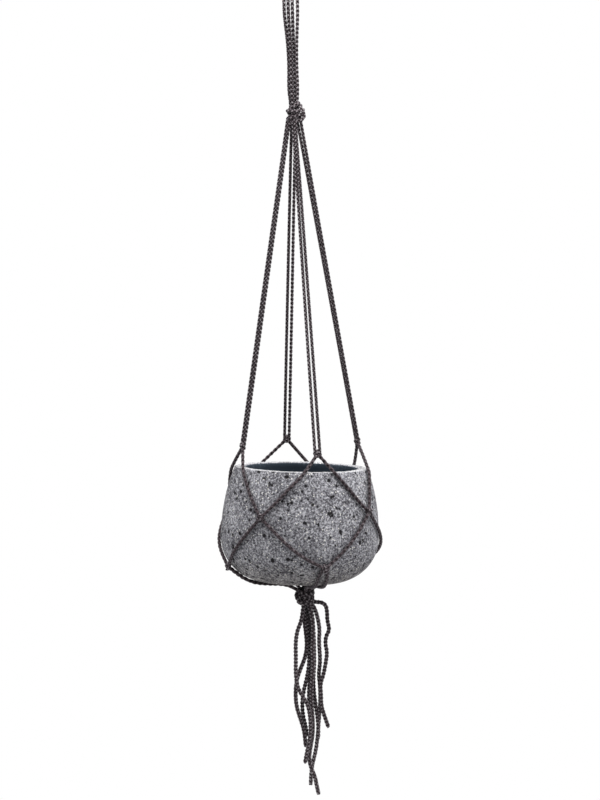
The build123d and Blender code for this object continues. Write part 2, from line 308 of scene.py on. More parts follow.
@dataclass(frozen=True)
class StonewareFinish:
    """Speckled grey stoneware: a coarse light and dark grain, cream flecks, pits with painted shade, a pale
    lip that is partly wear and partly painted highlight, blue-black inside.
    """

    dark: Colour = (0.040, 0.038, 0.045, 1.0)
    middle: Colour = (0.170, 0.167, 0.184, 1.0)
    pale: Colour = (0.440, 0.440, 0.465, 1.0)
    fleck: Colour = (0.80, 0.78, 0.72, 1.0)
    speck: Colour = (0.028, 0.025, 0.029, 1.0)
    # Painted shade: near black in the pits that are sunk into the surface
    pit: Colour = (0.006, 0.005, 0.006, 1.0)
    foot: Colour = (0.70, 0.66, 0.60, 1.0)  # makes the clay darker and warmer towards the base
    glaze: Colour = (0.042, 0.056, 0.074, 1.0)
    glaze_pale: Colour = (0.115, 0.142, 0.175, 1.0)
    # The pale lip: partly wear, partly a painted highlight on the top, where light falls
    lip_wear_and_highlight: Colour = (0.48, 0.48, 0.48, 1.0)
    roughness: float = 0.86
    glaze_gloss: float = 0.42  # how much less rough the inside is
    shine: float = 0.30
    relief: float = 0.0006  # height of the grain, in metres

    def material(self) -> bpy.types.Material:
        """Build the pot's material.

        Returns:
            A material that reads Object coordinates and the pit, lip, foot and inside attributes.
        """
        board = Board("speckled_stoneware")
        place = board.node("ShaderNodeTexCoord", None, None, "Object")
        coarse = board.grain(place, 420.0, 3.0, 0.70)
        fine = board.grain(place, 1150.0, 2.0, 0.60)
        cloud = board.grain(place, 28.0, 2.0, 0.50)
        value = coarse * 0.70 + fine * 0.36 + cloud * 0.16 - 0.11
        clay = board.mix(value.step(0.41, 0.52), self.dark, self.middle)
        clay = board.mix(value.step(0.50, 0.61), clay, self.pale)
        clay = board.mix(self.scatter(board, place, 430.0, 0.28, 0.82), clay, self.fleck)
        clay = board.mix(self.scatter(board, place, 250.0, 0.24, 0.70), clay, self.speck)
        # Darker and warmer towards the base
        clay = board.mix(board.attribute("foot"), clay, board.mix(1.0, clay, self.foot, "MULTIPLY"))
        # The lip painted pale: partly wear, partly a painted highlight on the top
        lip = board.attribute("lip") * (coarse + fine) * 0.6
        clay = board.mix(lip.step(0.40, 0.85), clay, self.lip_wear_and_highlight)
        # Painted shade in the pits, where the pit mark is high
        pitted = (board.attribute("pit") + (fine - 0.5) * 0.9 + (coarse - 0.5) * 1.2).step(0.35, 0.45)
        clay = board.mix(pitted, clay, self.pit)
        inside = board.attribute("inside")
        glaze = board.mix((coarse * 0.5 + cloud * 0.5).step(0.48, 0.66), self.glaze, self.glaze_pale)
        glazed = inside.step(0.3, 0.7)
        relief = (coarse * 0.5 + fine * 0.5) * (1 - pitted) * (1 - inside * 0.8)
        values = {"Strength": 0.60, "Distance": self.relief, "Height": relief}
        return board.surface(
            Base_Color=board.mix(glazed, clay, glaze),
            Roughness=self.roughness - glazed * self.glaze_gloss,
            Specular_IOR_Level=self.shine,
            Normal=board.node("ShaderNodeBump", None, values),
        )

    def scatter(self, board: Board, place: Wire, scale: float, size: float, rare: float) -> Wire:
        """Scattered round spots, one in some cells of a cell pattern.

        Args:
            board: the tree to build in.
            place: the coordinate that the pattern follows.
            scale: cells to the metre.
            size: a spot's radius, as a share of a cell.
            rare: the share of cells that stay empty.

        Returns:
            1 on a spot and 0 off it.
        """
        values = {"Vector": place, "Scale": scale}
        near = board.node("ShaderNodeTexVoronoi", None, values, "Distance")
        cell = board.node("ShaderNodeTexVoronoi", None, values, "Color")
        chosen = board.node("ShaderNodeSeparateColor", None, {0: cell})
        return near.step(size + 0.06, size - 0.06) * chosen.step(rare, rare + 0.02)


# ---------------------------------------------------------------------------------------------
# Braided cord


def smooth_line(route: Sequence[Vector]) -> np.ndarray:
    """The smooth line of a cord.

    Args:
        route: the hand-chosen points, which the line's NURBS spline takes as control points.

    Returns:
        Points along the spline, close together.
    """
    curve = bpy.data.curves.new("route", "CURVE")
    curve.dimensions = "3D"
    curve.resolution_u = 24
    spline = curve.splines.new("NURBS")
    spline.points.add(len(route) - 1)
    for control, place in zip(spline.points, route):
        control.co = (*place, 1.0)
    spline.order_u = 3
    spline.use_endpoint_u = True
    holder = bpy.data.objects.new("route", curve)
    mesh = bpy.data.meshes.new_from_object(holder)
    line = np.array([vertex.co for vertex in mesh.vertices])
    bpy.data.meshes.remove(mesh)
    bpy.data.objects.remove(holder)
    bpy.data.curves.remove(curve)
    return line


def distance_along(line: np.ndarray) -> np.ndarray:
    """How far along the line each of its points is."""
    runs = np.linalg.norm(np.diff(line, axis=0), axis=1)
    return np.concatenate([[0.0], np.cumsum(runs)])


def evenly(line: np.ndarray, step: float) -> np.ndarray:
    """The same line with its points about one step apart."""
    along = distance_along(line)
    at = np.linspace(0.0, along[-1], max(3, round(along[-1] / step) + 1))
    return np.stack([np.interp(at, along, line[:, axis]) for axis in range(3)], axis=1)


def normalised(vectors: np.ndarray) -> np.ndarray:
    """Each row at length 1."""
    return vectors / np.linalg.norm(vectors, axis=1, keepdims=True)


def untwisted_normals(line: np.ndarray, tangents: np.ndarray) -> np.ndarray:
    """Normals that turn about the line no more than it bends.

    Args:
        line: points along the line.
        tangents: the line's direction at each point.

    Returns:
        One unit normal at each point.
    """
    start = np.cross(tangents[0], ACROSS_ANY_CORD)
    normals = [start / np.linalg.norm(start)]
    for place, after, direction, direction_after in zip(line, line[1:], tangents, tangents[1:]):
        chord = after - place
        twice = 2.0 / (chord @ chord)
        carried = normals[-1] - twice * (chord @ normals[-1]) * chord
        mirrored = direction - twice * (chord @ direction) * chord
        across = direction_after - mirrored
        size = across @ across
        if size > 1e-18:
            carried = carried - 2.0 / size * (across @ carried) * across
        normals.append(carried)
    return np.array(normals)


class Tubes:
    """Flattened tubes that are gathered up and made one mesh."""

    def __init__(self) -> None:
        """Start with no tubes."""
        self.places: list[np.ndarray] = []
        self.marks: dict[str, list[np.ndarray]] = {"depth": [], "tone": []}
        self.corners: list[np.ndarray] = []
        self.sizes: list[np.ndarray] = []
        self.yarn_uv: list[np.ndarray] = []
        self.count = 0

    def add(
        self,
        centres: np.ndarray,
        outward: np.ndarray,
        half_width: np.ndarray,
        half_thickness: np.ndarray,
        sides: int,
        depth: np.ndarray,
        tone: float,
    ) -> None:
        """Add one closed tube.

        Args:
            centres: the middle of each ring.
            outward: the direction in which the tube is thin, at each ring.
            half_width: half of its width at each ring.
            half_thickness: half of its thickness at each ring.
            sides: the number of points in a ring.
            depth: the depth mark at each ring, 1 on the cord's surface and 0 in its grooves, which places the
                painted shade and the painted highlight.
            tone: the tube's tone mark, the same all along.
        """
        rings = len(centres)
        tangents = normalised(np.gradient(centres, axis=0))
        width_way = normalised(np.cross(tangents, outward))
        thin_way = np.cross(width_way, tangents)
        turn = -math.pi / 2 + 2 * math.pi * np.arange(sides) / sides
        wide = np.cos(turn)[None, :, None] * (width_way * half_width[:, None])[:, None, :]
        thin = np.sin(turn)[None, :, None] * (thin_way * half_thickness[:, None])[:, None, :]
        self.places.append((centres[:, None, :] + wide + thin).reshape(-1, 3))
        # The depth mark falls towards each yarn's inner side, which faces the cord's middle: painted shade
        # there
        edge = 0.5 + 0.5 * np.sin(turn)[None, :]
        self.marks["depth"].append((depth[:, None] * (0.35 + 0.65 * edge)).ravel())
        self.marks["tone"].append(np.full(rings * sides, tone))
        ring = np.arange(rings - 1)[:, None] * sides
        side = np.arange(sides)[None, :]
        after = (side + 1) % sides
        quads = np.stack([ring + side, ring + sides + side, ring + sides + after, ring + after], axis=2)
        self.corners.append(quads.reshape(-1) + self.count)
        self.sizes.append(np.full((rings - 1) * sides, 4))
        along = distance_along(centres) / YARN_MAP_UNIT
        low, high = along[:-1, None], along[1:, None]
        left = np.broadcast_to(side / sides, (rings - 1, sides))
        right = np.broadcast_to((side + 1) / sides, (rings - 1, sides))
        low, high = (np.broadcast_to(value, (rings - 1, sides)) for value in (low, high))
        uv = [np.stack(pair, axis=2) for pair in ((low, left), (high, left), (high, right), (low, right))]
        self.yarn_uv.append(np.stack(uv, axis=2).reshape(-1, 2))
        for first, order, place in ((0, 1, 0.0), ((rings - 1) * sides, -1, along[-1])):
            self.corners.append(np.arange(sides)[::order] + first + self.count)
            self.sizes.append(np.array([sides]))
            self.yarn_uv.append(np.tile((place, 0.5), (sides, 1)))
        self.count += rings * sides

    def piece(self, name: str, material: bpy.types.Material) -> bpy.types.Object:
        """Make the gathered tubes one object at the origin.

        Args:
            name: the piece's name.
            material: its finish.

        Returns:
            The new object.
        """
        mesh = bpy.data.meshes.new(name)
        corners = np.concatenate(self.corners)
        sizes = np.concatenate(self.sizes)
        mesh.vertices.add(self.count)
        mesh.vertices.foreach_set("co", np.concatenate(self.places).ravel())
        mesh.loops.add(len(corners))
        mesh.loops.foreach_set("vertex_index", corners)
        mesh.polygons.add(len(sizes))
        mesh.polygons.foreach_set("loop_start", np.concatenate([[0], np.cumsum(sizes)[:-1]]))
        mesh.polygons.foreach_set("use_smooth", sizes == 4)
        mesh.update(calc_edges=True)
        uv_map = mesh.uv_layers.new(name="yarn")
        uv_map.data.foreach_set("uv", np.concatenate(self.yarn_uv).ravel())
        for mark, values in self.marks.items():
            carried = mesh.attributes.new(mark, "FLOAT", "POINT")
            carried.data.foreach_set("value", np.concatenate(values).astype(np.float32))
        mesh.validate()
        mesh.materials.append(material)
        made = bpy.data.objects.new(name, mesh)
        bpy.context.scene.collection.objects.link(made)
        return made


@dataclass(frozen=True)
class Braid:
    """A round cord of four yarns, two turning each way over and under each other round a core."""

    diameter: float
    lay: float  # length of a yarn's full turn, in diameters
    loose: float = 0.0  # how unevenly the yarns lie, 0 to 1
    relief: float = 1.0  # how far the yarns stand out, and how strong their painted shade and highlight are, less where the cord is pressed or drawn smooth
    tones: tuple[float, float] = (0.15, 0.85)  # from the darkest yarn to the lightest
    yarns_each_way: int = 2
    sides: int = 7
    rings_per_turn: int = 14
    core_sides: int = 8
    # In diameters: from the cord's middle to a yarn's, a yarn's rise and dip there, half its
    # thickness, the core's radius, and the length of an end that is drawn in where it was cut
    yarn_out: float = 0.25
    wave: float = 0.07
    half_thickness: float = 0.19
    core: float = 0.20
    end_length: float = 0.45
    end_size: float = 0.62  # a drawn-in end's share of the full thickness
    crowd: float = 0.46  # a yarn's half width, as a share of the cord's, at the shortest lay
    wander: float = 0.18  # of a loose yarn round the cord, in radians
    uneven: float = 0.06  # of a loose yarn's thickness, as a share
    core_tone: float = 0.2

    def along(self, line: np.ndarray, tubes: Tubes, dice: random.Random) -> np.ndarray:
        """Braid the cord along a line.

        Args:
            line: the cord's smooth line.
            tubes: what the yarns are added to.
            dice: the seeded source of small differences.

        Returns:
            The evenly spaced points that the braid follows.
        """
        turn_length = self.lay * self.diameter
        line = evenly(line, turn_length / self.rings_per_turn)
        far = distance_along(line)
        tangents = normalised(np.gradient(line, axis=0))
        normals = untwisted_normals(line, tangents)
        binormals = np.cross(tangents, normals)
        ends = np.minimum(far, far[-1] - far) / (self.end_length * self.diameter)
        sealed = self.end_size + (1.0 - self.end_size) * np.sqrt(np.clip(ends, 0.0, 1.0))
        phase = dice.uniform(0.0, 2.0 * math.pi)
        shift = dice.uniform(0.0, turn_length)
        middle = self.yarn_out * self.diameter
        wave = self.wave * self.diameter * self.relief
        crossings = 2.0 * self.yarns_each_way * math.pi * (far + shift) / turn_length
        for way in (1, -1):
            over = way * np.cos(crossings)
            for number in range(self.yarns_each_way):
                wander = dice.uniform(-1.0, 1.0) * self.loose
                turn = way * 2.0 * math.pi * (far + shift) / turn_length + phase
                turn = turn + 2.0 * math.pi * number / self.yarns_each_way + self.wander * wander
                outward = np.cos(turn)[:, None] * normals + np.sin(turn)[:, None] * binormals
                reach = (middle + wave * over) * sealed
                self.yarn(line + outward * reach[:, None], outward, over, sealed, tubes, dice)
        core = np.full(len(line), self.core * self.diameter) * sealed
        # The core's depth mark is 0 all along, so it is painted in the near-black shade of the grooves
        tubes.add(line, normals, core, core, self.core_sides, np.zeros(len(line)), self.core_tone)
        return line

    def yarn(
        self,
        centres: np.ndarray,
        outward: np.ndarray,
        over: np.ndarray,
        sealed: np.ndarray,
        tubes: Tubes,
        dice: random.Random,
    ) -> None:
        """Add one yarn of the braid.

        Args:
            centres: the yarn's middle line.
            outward: the way out from the cord's middle, along the yarn.
            over: 1 where the yarn is on top, -1 where it dips under.
            sealed: how far the yarn is drawn in towards a cut end.
            tubes: what the yarn is added to.
            dice: the seeded source of small differences.
        """
        plump = 1.0 + self.uneven * self.loose * dice.uniform(-1.0, 1.0)
        crowd = self.crowd + 0.03 * self.lay  # a long lay leaves the yarns more room
        narrowed = 0.94 + 0.06 * over  # where it dips under
        half_width = crowd * self.diameter / 2.0 * plump * narrowed * sealed
        half_thickness = self.half_thickness * self.diameter * plump * np.ones_like(over)
        depth = 0.68 + (0.5 * over - 0.18) * self.relief  # 1 on the tops of the yarns, down to 0 between them: painted highlight on the tops, painted shade between
        tone = dice.uniform(*self.tones)
        tubes.add(centres, outward, half_width, half_thickness, self.sides, depth, tone)


@dataclass
class CordShop:
    """Makes braided pieces from one stock of cord."""

    finish: CordFinish = CordFinish()

    def __post_init__(self) -> None:
        """Make the cord's one material."""
        self.material = self.finish.material()

    def braided(
        self, name: str, routes: Iterable[Sequence[Vector]], braid: Braid
    ) -> tuple[bpy.types.Object, np.ndarray]:
        """Braid one piece along one route or several.

        Args:
            name: the piece's name, which also seeds its small differences.
            routes: the control points of each cord in the piece.
            braid: the cord that it is made of.

        Returns:
            The piece, and the points that its last cord follows.
        """
        dice = random.Random(name)
        tubes = Tubes()
        for route in routes:
            line = braid.along(smooth_line(route), tubes, dice)
        piece = tubes.piece(name, self.material)
        log.info("%s: %d points", name, tubes.count)
        return piece, line

    @staticmethod
    def declare(
        piece: bpy.types.Object, line: np.ndarray, length: float, diameter: float, hang: Hang
    ) -> None:
        """Do nothing with a piece that is a free cord of a real length.

        Args:
            piece: the cord's piece; not used.
            line: the points that it follows, from where it leaves the object; not used.
            length: its real length; not used.
            diameter: its real diameter; not used.
            hang: whether it is pulled taut between two knots or hangs with a bare end; not used.
        """


def middle_of(node: str) -> Vector:
    """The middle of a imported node's box, which is a knot's middle."""
    low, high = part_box(node)
    return (low + high) / 2


def set_in(piece: bpy.types.Object, body: Body, *nodes: str) -> None:
    """Put a piece on its body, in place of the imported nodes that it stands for."""
    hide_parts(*nodes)
    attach(piece, body.value)


# ---------------------------------------------------------------------------------------------
# The pot


@dataclass
class Pot:
    """The round stoneware pot, leaning a little in its net.

    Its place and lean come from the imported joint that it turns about, which is at belly level.
    """

    height: float = 0.1375
    rim_radius: float = 0.0796
    rim_width: float = 0.0125
    belly_radius: float = 0.0952
    belly_height: float = 0.0540
    wall: float = 0.0100
    lip_rounding: float = 0.0018
    steps_round: int = 440
    outer_step: float = 0.0014
    inner_step: float = 0.0050
    flat_radii: tuple[float, ...] = (0.0, 0.012, 0.024, 0.034)  # rings in the flat base
    foot_tint_reach: float = 0.62  # how far up to the belly the clay is darker and warmer, as a share
    # Features to the metre, and height: the turning's waves, the grain, and chips in the lip
    waves: tuple[float, float] = (22.0, 0.00035)
    grit: tuple[float, float] = (620.0, 0.00016)
    chips: tuple[float, float] = (190.0, 0.00090)
    pits: int = 560
    pit_sizes: tuple[float, float, float] = (0.0007, 0.00105, 0.0020)  # smallest, usual, largest
    pit_spread: float = 0.32
    pit_depth: float = 0.55  # as a share of its size
    pit_drift: float = 0.0012  # between the pits of one cluster
    finish: StonewareFinish = StonewareFinish()

    def __post_init__(self) -> None:
        """Read the pot's axis, and work out its arcs."""
        joint = next(joint for joint in frame["joints"] if joint["child"] == Body.POT.value)
        self.belly_middle = Vector(joint["pos_m"])
        self.axis = Vector(joint["axis"]).normalized()
        self.base_radius = self.belly_radius - self.belly_height
        above = self.height - self.belly_height
        draw_in = self.belly_radius - self.rim_radius
        self.shoulder_arc = (above**2 + draw_in**2) / (2 * draw_in)

    def placed(self, radius: float, azimuth: float, above_belly: float) -> Vector:
        """A point given from the upright pot's axis, where the leaning pot has it.

        Args:
            radius: distance from the axis.
            azimuth: degrees from the front, growing to the right.
            above_belly: height above the belly level.

        Returns:
            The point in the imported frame.
        """
        turn = math.radians(azimuth)
        upright = Vector((radius * math.sin(turn), -radius * math.cos(turn), above_belly))
        return self.lean() @ upright + self.belly_middle

    def lean(self) -> Matrix:
        """The turn that takes the upright axis to the pot's axis."""
        return Vector((0, 0, 1)).rotation_difference(self.axis).to_matrix()

    def beside(self, azimuth: float, level: float, standoff: float) -> Vector:
        """A point this far out from the outer face, square to the face.

        Args:
            azimuth: degrees from the front, growing to the right.
            level: 0 at the base, 1 at the rim.
            standoff: distance from the face.

        Returns:
            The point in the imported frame.
        """
        rise = level * self.height - self.belly_height
        if rise > 0:
            middle, arc = self.belly_radius - self.shoulder_arc, self.shoulder_arc
        else:
            middle, arc = self.base_radius, self.belly_height
        grow = (arc + standoff) / arc
        return self.placed(middle + math.sqrt(arc**2 - rise**2) * grow, azimuth, rise * grow)

    @staticmethod
    def arc_points(
        middle: tuple[float, float], radius: float, start: float, end: float, step: float
    ) -> list[tuple[float, float]]:
        """Points along one arc of the section.

        Args:
            middle: the arc's centre, as distance from the axis and height.
            radius: the arc's radius.
            start: the angle at which it starts, in radians above the level.
            end: the angle at which it ends.
            step: the usual distance between points.

        Returns:
            The points, the first one left out.
        """
        count = max(3, round(abs(end - start) * radius / step))
        angles = [start + (end - start) * number / count for number in range(1, count + 1)]
        return [(middle[0] + radius * math.cos(a), middle[1] + radius * math.sin(a)) for a in angles]

    def section(self) -> list[tuple[float, float]]:
        """The pot's half section, from the middle of the base round the lip to the middle of the floor.

        Returns:
            Points as distance from the axis and height above the base.
        """
        lip, top = self.lip_rounding, self.height
        base = [(radius, 0.0) for radius in (*self.flat_radii, self.base_radius)]
        bowl_middle = (self.base_radius, self.belly_height)
        bowl = self.arc_points(bowl_middle, self.belly_height, -math.pi / 2, 0.0, self.outer_step)
        shoulder_middle = (self.belly_radius - self.shoulder_arc, self.belly_height)
        rise = math.asin((top - self.belly_height) / self.shoulder_arc)
        stop = math.asin((top - lip - self.belly_height) / self.shoulder_arc)
        shoulder = self.arc_points(shoulder_middle, self.shoulder_arc, 0.0, stop, self.outer_step)
        outer = shoulder[-1][0]
        rounded = self.arc_points((outer - lip, top - lip), lip, rise * 0.5, math.pi / 2, self.outer_step / 2)
        inner = self.rim_radius - self.rim_width
        flat = [(outer - lip - (outer - 2 * lip - inner) * share, top) for share in (0.25, 0.5, 0.75)]
        edge = self.arc_points((inner + lip, top - lip), lip, math.pi / 2, math.pi, self.outer_step / 2)
        inner_belly = self.belly_radius - self.wall
        above, out = top - lip - self.belly_height, inner_belly - inner
        inner_arc = (above**2 + out**2) / (2 * out)
        throat = math.asin(above / inner_arc)
        inner_middle = (inner_belly - inner_arc, self.belly_height)
        inner_shoulder = self.arc_points(inner_middle, inner_arc, throat, 0.0, self.inner_step)
        bowl_inner = self.belly_height - self.wall
        inner_bowl_middle = (inner_belly - bowl_inner, self.belly_height)
        inner_bowl = self.arc_points(inner_bowl_middle, bowl_inner, 0.0, -math.pi / 2, self.inner_step)
        floor = [(share * inner_bowl[-1][0], self.wall) for share in (0.75, 0.5, 0.25, 0.0)]
        return base + bowl + shoulder + rounded + flat + edge + inner_shoulder + inner_bowl + floor

    def turned(self) -> bpy.types.Object:
        """Turn the section into the upright pot, as on a wheel.

        Returns:
            The upright pot, its base on the origin.
        """
        section = self.section()
        bpy.ops.object.select_all(action="DESELECT")
        bpy.ops.mesh.primitive_plane_add(size=0.01, location=(0, 0, 0))
        pot = bpy.context.object
        bpy.ops.object.mode_set(mode="EDIT")
        bpy.ops.mesh.select_all(action="SELECT")
        bpy.ops.mesh.merge(type="CENTER")
        for (radius, height), (next_radius, next_height) in zip(section, section[1:]):
            move = (next_radius - radius, 0.0, next_height - height)
            bpy.ops.mesh.extrude_region_move(TRANSFORM_OT_translate={"value": move})
        bpy.ops.mesh.select_all(action="SELECT")
        bpy.ops.mesh.spin(steps=self.steps_round, angle=2 * math.pi, center=(0, 0, 0), axis=(0, 0, 1))
        bpy.ops.mesh.select_all(action="SELECT")
        bpy.ops.mesh.remove_doubles(threshold=1e-6)
        bpy.ops.mesh.normals_make_consistent(inside=False)
        bpy.ops.object.mode_set(mode="OBJECT")
        bpy.ops.object.shade_smooth()
        pot.name = "stoneware_pot"
        pot.data.name = "stoneware_pot"
        return pot

    def weather(self, pot: bpy.types.Object) -> None:
        """Give the pot its cast surface: waves, grain, a chipped lip and pits, with the marks for its finish,
        which include painted shade in the pits and a pale lip that is partly wear and partly painted
        highlight.

        Args:
            pot: the upright pot.
        """
        mesh = pot.data
        count = len(mesh.vertices)
        places = np.zeros(count * 3)
        normals = np.zeros(count * 3)
        mesh.vertices.foreach_get("co", places)
        mesh.vertices.foreach_get("normal", normals)
        places, normals = places.reshape(-1, 3), normals.reshape(-1, 3)
        radius = np.hypot(places[:, 0], places[:, 1])
        height = places[:, 2]
        inner = self.rim_radius - self.rim_width
        facing_in = (normals[:, 0] * places[:, 0] + normals[:, 1] * places[:, 1]) < 0
        floor = (radius < self.base_radius) & (height > self.wall / 2)
        inside = (facing_in & (height < self.height - 0.4 * self.lip_rounding)) | floor
        pale_lip_reach = 0.8 * self.lip_rounding  # how far down the lip is painted pale, partly for wear and partly as a painted highlight
        lip = np.clip((height - self.height + pale_lip_reach) / pale_lip_reach, 0, 1)
        lip = np.where(facing_in & (radius < inner + 0.001), lip * 0.7, lip)
        foot = np.clip(1.0 - height / (self.foot_tint_reach * self.belly_height), 0, 1)
        wave, grain, chips = (
            high * np.array([noise.noise(Vector(place) * scale) for place in places])
            for scale, high in (self.waves, self.grit, self.chips)
        )
        push = wave + grain * (1 - 0.6 * inside)
        push -= np.where(lip > 0.5, np.clip(chips - 0.05 * self.chips[1], 0, self.chips[1]), 0.0)
        pit = np.zeros(count)
        self.sink_pits(places, ~inside & (height > 0.002), pit, push)
        places += normals * push[:, None]
        mesh.vertices.foreach_set("co", places.ravel())
        marks = {"pit": pit, "lip": lip, "foot": foot, "inside": inside}
        for mark, values in marks.items():
            carried = mesh.attributes.new(mark, "FLOAT", "POINT")
            carried.data.foreach_set("value", values.astype(np.float32))

    def sink_pits(self, places: np.ndarray, outer: np.ndarray, pit: np.ndarray, push: np.ndarray) -> None:
        """Sink small pits, where grit burnt out of the clay.

        Args:
            places: the points of the pot.
            outer: which of them may be in a pit.
            pit: the pit mark at each point, which places the painted shade in the pits and which this fills
                in.
            push: how far each point goes outwards, which this takes from.
        """
        dice = random.Random("pits")
        smallest, usual, largest = self.pit_sizes
        ring = np.flatnonzero(outer)
        tree = kdtree.KDTree(len(ring))
        for index in ring:
            tree.insert(Vector(places[index]), int(index))
        tree.balance()
        for _ in range(self.pits):
            start = Vector(places[ring[dice.randrange(len(ring))]])
            for _ in range(dice.choice((1, 1, 2, 3, 4))):
                size = min(largest, max(smallest, dice.lognormvariate(math.log(usual), self.pit_spread)))
                drift = Vector([dice.gauss(0, self.pit_drift) for _ in range(3)])
                for _, index, away in tree.find_range(start + drift, size * 2.0):
                    deep = 1.0 - away / (size * 2.0)
                    pit[index] = max(pit[index], deep)
                    push[index] = min(push[index], -size * self.pit_depth * max(0.0, deep * 2.0 - 0.6))

    def build(self) -> bpy.types.Object:
        """Make, lean and dress the pot.

        Returns:
            The pot's piece.
        """
        pot = self.turned()
        self.weather(pot)
        stand = Matrix.Translation(self.belly_middle) @ self.lean().to_4x4()
        pot.data.transform(stand @ Matrix.Translation((0, 0, -self.belly_height)))
        pot.data.update()
        pot.data.materials.append(self.finish.material())
        set_in(pot, Body.POT, "pot")
        log.info("%s: %d points", pot.name, len(pot.data.vertices))
        return pot


# ---------------------------------------------------------------------------------------------
# The knots


@dataclass
class WoundKnot:
    """A large knot: cord wound round the bundle, with wraps that cross over the turns."""

    name: str
    node: str
    body: Body
    cord: float
    winding_radius: float
    turns: float
    pitch: float
    lowest: float
    tilt_right: float  # rise of a turn for each metre to the right
    tilt_back: float  # rise of a turn for each metre to the back
    wraps: tuple[tuple[Point, ...], ...]
    bundle_radius: float
    bundle_half: float
    shift: Point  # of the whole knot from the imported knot's middle
    relief: float
    tones: tuple[float, float]
    belly: float = 0.18  # how much narrower the end turns are than the middle ones
    wobble: float = 0.05  # of a turn's radius, as a share
    points_per_turn: int = 11
    bundle_rings: int = 14
    bundle_twist: float = 0.5  # of the bundle's top from its middle, in radians

    def winding(self, middle: Vector, dice: random.Random) -> list[Vector]:
        """The control points of the cord that is wound round the bundle.

        Args:
            middle: the knot's middle.
            dice: the seeded source of small differences.

        Returns:
            The points, from the lowest turn up.
        """
        points = []
        for number in range(round(self.turns * self.points_per_turn) + 1):
            turn = 2 * math.pi * number / self.points_per_turn + math.pi / 2
            share = 2 * number / (self.turns * self.points_per_turn) - 1
            radius = self.winding_radius * (1 - self.belly * share**2 + self.wobble * dice.uniform(-1, 1))
            x, y = radius * math.cos(turn), radius * math.sin(turn)
            rise = self.lowest + self.pitch * number / self.points_per_turn
            z = rise + self.tilt_right * x + self.tilt_back * y
            points.append(middle + Vector((x, y, z)))
        return points

    def build(self, shop: CordShop) -> bpy.types.Object:
        """Make the knot.

        Args:
            shop: the maker of braided pieces.

        Returns:
            The knot's piece.
        """
        middle = middle_of(self.node) + Vector(self.shift)
        dice = random.Random(self.node)
        routes = [self.winding(middle, dice)]
        routes += [[middle + Vector(point) for point in wrap] for wrap in self.wraps]
        tubes = Tubes()
        braid = Braid(self.cord, 2.1, loose=0.8, relief=self.relief, tones=self.tones)
        for route in routes:
            braid.along(smooth_line(route), tubes, dice)
        self.fill(middle, tubes)
        piece = tubes.piece(self.name, shop.material)
        set_in(piece, self.body, self.node)
        log.info("%s: %d points", self.name, tubes.count)
        return piece

    def fill(self, middle: Vector, tubes: Tubes) -> None:
        """Fill the knot's heart with the bundle of cords that it is wound round.

        Args:
            middle: the knot's middle.
            tubes: what the bundle is added to.
        """
        round_the_middle = 6
        strand = self.bundle_radius / 3
        heights = np.linspace(-self.bundle_half, self.bundle_half, self.bundle_rings)
        for number in range(round_the_middle + 1):
            out = 0.0 if number == round_the_middle else 2 * strand
            twist = 2 * math.pi * number / round_the_middle + heights / self.bundle_half * self.bundle_twist
            line = np.stack([out * np.cos(twist), out * np.sin(twist), heights], axis=1) + np.array(middle)
            size = np.full(len(line), strand)
            outward = np.tile((0.0, 1.0, 0.0), (len(line), 1))
            # A low depth mark: the bundle is painted mostly in the near-black shade of the grooves
            tubes.add(line, outward, size, size, 10, np.full(len(line), 0.3), 0.35)


@dataclass(frozen=True)
class SmallKnot:
    """An overhand knot that ties two cords together."""

    braid: Braid = Braid(0.0042, 2.1, loose=0.7, relief=0.7, tones=(0.35, 1.0))
    ring: float = 0.00250  # radius of the knot's ring
    swell: float = 0.00120  # how far the cord passes in and out of the ring
    thick: float = 0.00195  # how far it passes to the front and back
    taller: float = 1.12  # than wide
    wobble: float = 0.05  # of the ring's radius, as a share
    points: int = 22

    def route(self, middle: Vector, outward: Vector, dice: random.Random) -> list[Vector]:
        """The control points of the knot's cord.

        Args:
            middle: the knot's middle.
            outward: the way that the knot faces.
            dice: the seeded source of small differences.

        Returns:
            The points of one overhand knot drawn tight.
        """
        face = outward.normalized()
        right = Vector((0, 0, 1)).cross(face).normalized()
        up = face.cross(right)
        start = dice.uniform(0, 2 * math.pi)
        points = []
        for number in range(self.points + 1):
            turn = 2 * math.pi * number / self.points
            radius = (self.ring + self.swell * math.cos(3 * turn)) * (1 + self.wobble * dice.uniform(-1, 1))
            x = radius * math.cos(2 * turn + start)
            y = radius * math.sin(2 * turn + start) * self.taller
            z = self.thick * math.sin(3 * turn)
            points.append(middle + right * x + up * y + face * z)
        return points

    def build(self, shop: CordShop, name: str, node: str, outward: Vector) -> bpy.types.Object:
        """Make one small knot.

        Args:
            shop: the maker of braided pieces.
            name: the piece's name.
            node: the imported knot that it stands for.
            outward: the way that the knot faces.

        Returns:
            The knot's piece.
        """
        dice = random.Random(node)
        route = self.route(middle_of(node), outward, dice)
        piece, _ = shop.braided(name, [route], self.braid)
        set_in(piece, Body.HANGER, node)
        return piece


# ---------------------------------------------------------------------------------------------
# The loop and the legs


